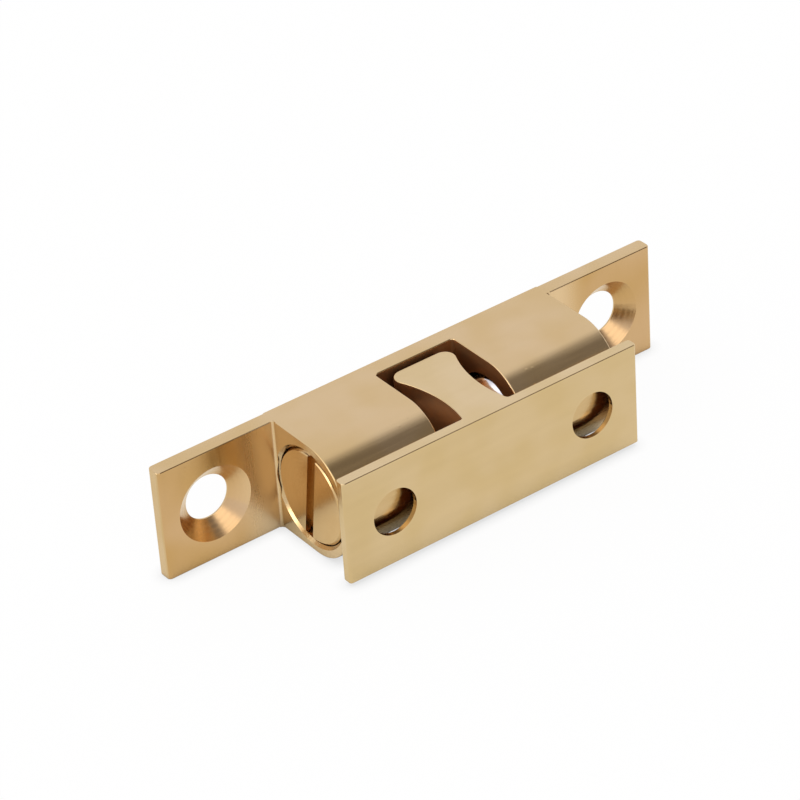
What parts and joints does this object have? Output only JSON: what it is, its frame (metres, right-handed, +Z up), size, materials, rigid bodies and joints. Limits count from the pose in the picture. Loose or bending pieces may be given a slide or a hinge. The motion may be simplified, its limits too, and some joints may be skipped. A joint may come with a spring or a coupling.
{
  "type": "ball catch",
  "caption": "Brass ball catch whose sprung steel balls, held in a notched barrel, grip the waisted tongue of a T-shaped strike plate.",
  "frame": {"origin": "centre of the mounting face, on the back of the fixing plate, midway between its screw holes", "axes": "+X along the plate, +Y out of the mounting face into the cabinet panel, +Z up; the strike and the door are towards -Y; the part is mirror symmetric about X = 0"},
  "size_m": [0.05, 0.0118, 0.0104],
  "materials": {
    "body_brass": "satin, extruded, milled ends",
    "strike_brass": "satin, extruded",
    "screw_brass": "turned, slotted",
    "ball_steel": "polished hardened steel",
    "spring_steel": "drawn spring wire"
  },
  "bodies": {
    "catch_body": {"catch_body": "body_brass"},
    "strike": {"strike": "strike_brass"},
    "ball_left": {"ball_left": "ball_steel"},
    "ball_right": {"ball_right": "ball_steel"},
    "spring_left": {"spring_left": "spring_steel"},
    "spring_right": {"spring_right": "spring_steel"},
    "adjusting_screw_left": {"adjusting_screw_left": "screw_brass"},
    "adjusting_screw_right": {"adjusting_screw_right": "screw_brass"}
  },
  "joints": [
    {"name": "strike_slide", "type": "slide", "parent": "catch_body", "child": "strike", "axis": [0, -1, 0], "range_m": [0, 0.009]},
    {"name": "ball_left_press", "type": "slide", "parent": "catch_body", "child": "ball_left", "axis": [-1, 0, 0], "range_m": [0, 0.0011], "stiffness_N_per_m": 2000, "deforming": ["spring_left"]},
    {"name": "screw_left_travel", "type": "slide", "parent": "catch_body", "child": "spring_left", "axis": [-1, 0, 0], "range_m": [-0.0004, 0.00025]},
    {"name": "screw_left_turn", "type": "hinge", "parent": "spring_left", "child": "adjusting_screw_left", "pos_m": [-0.013, -0.00575, 0], "axis": [-1, 0, 0], "range_deg": [-192.5, 120.5]},
    {"name": "ball_right_press", "type": "slide", "parent": "catch_body", "child": "ball_right", "axis": [1, 0, 0], "range_m": [0, 0.0011], "stiffness_N_per_m": 2000, "deforming": ["spring_right"]},
    {"name": "screw_right_travel", "type": "slide", "parent": "catch_body", "child": "spring_right", "axis": [1, 0, 0], "range_m": [-0.0004, 0.00025]},
    {"name": "screw_right_turn", "type": "hinge", "parent": "spring_right", "child": "adjusting_screw_right", "pos_m": [0.013, -0.00575, 0], "axis": [1, 0, 0], "range_deg": [-192.5, 120.5]}
  ],
  "couplings": [
    {"joint": "ball_left_press", "follows": "strike_slide", "ratio": 0.12},
    {"joint": "screw_left_turn", "follows": "screw_left_travel", "rad_per_m": 8377.6},
    {"joint": "ball_right_press", "follows": "strike_slide", "ratio": 0.12},
    {"joint": "screw_right_turn", "follows": "screw_right_travel", "rad_per_m": 8377.6}
  ]
}
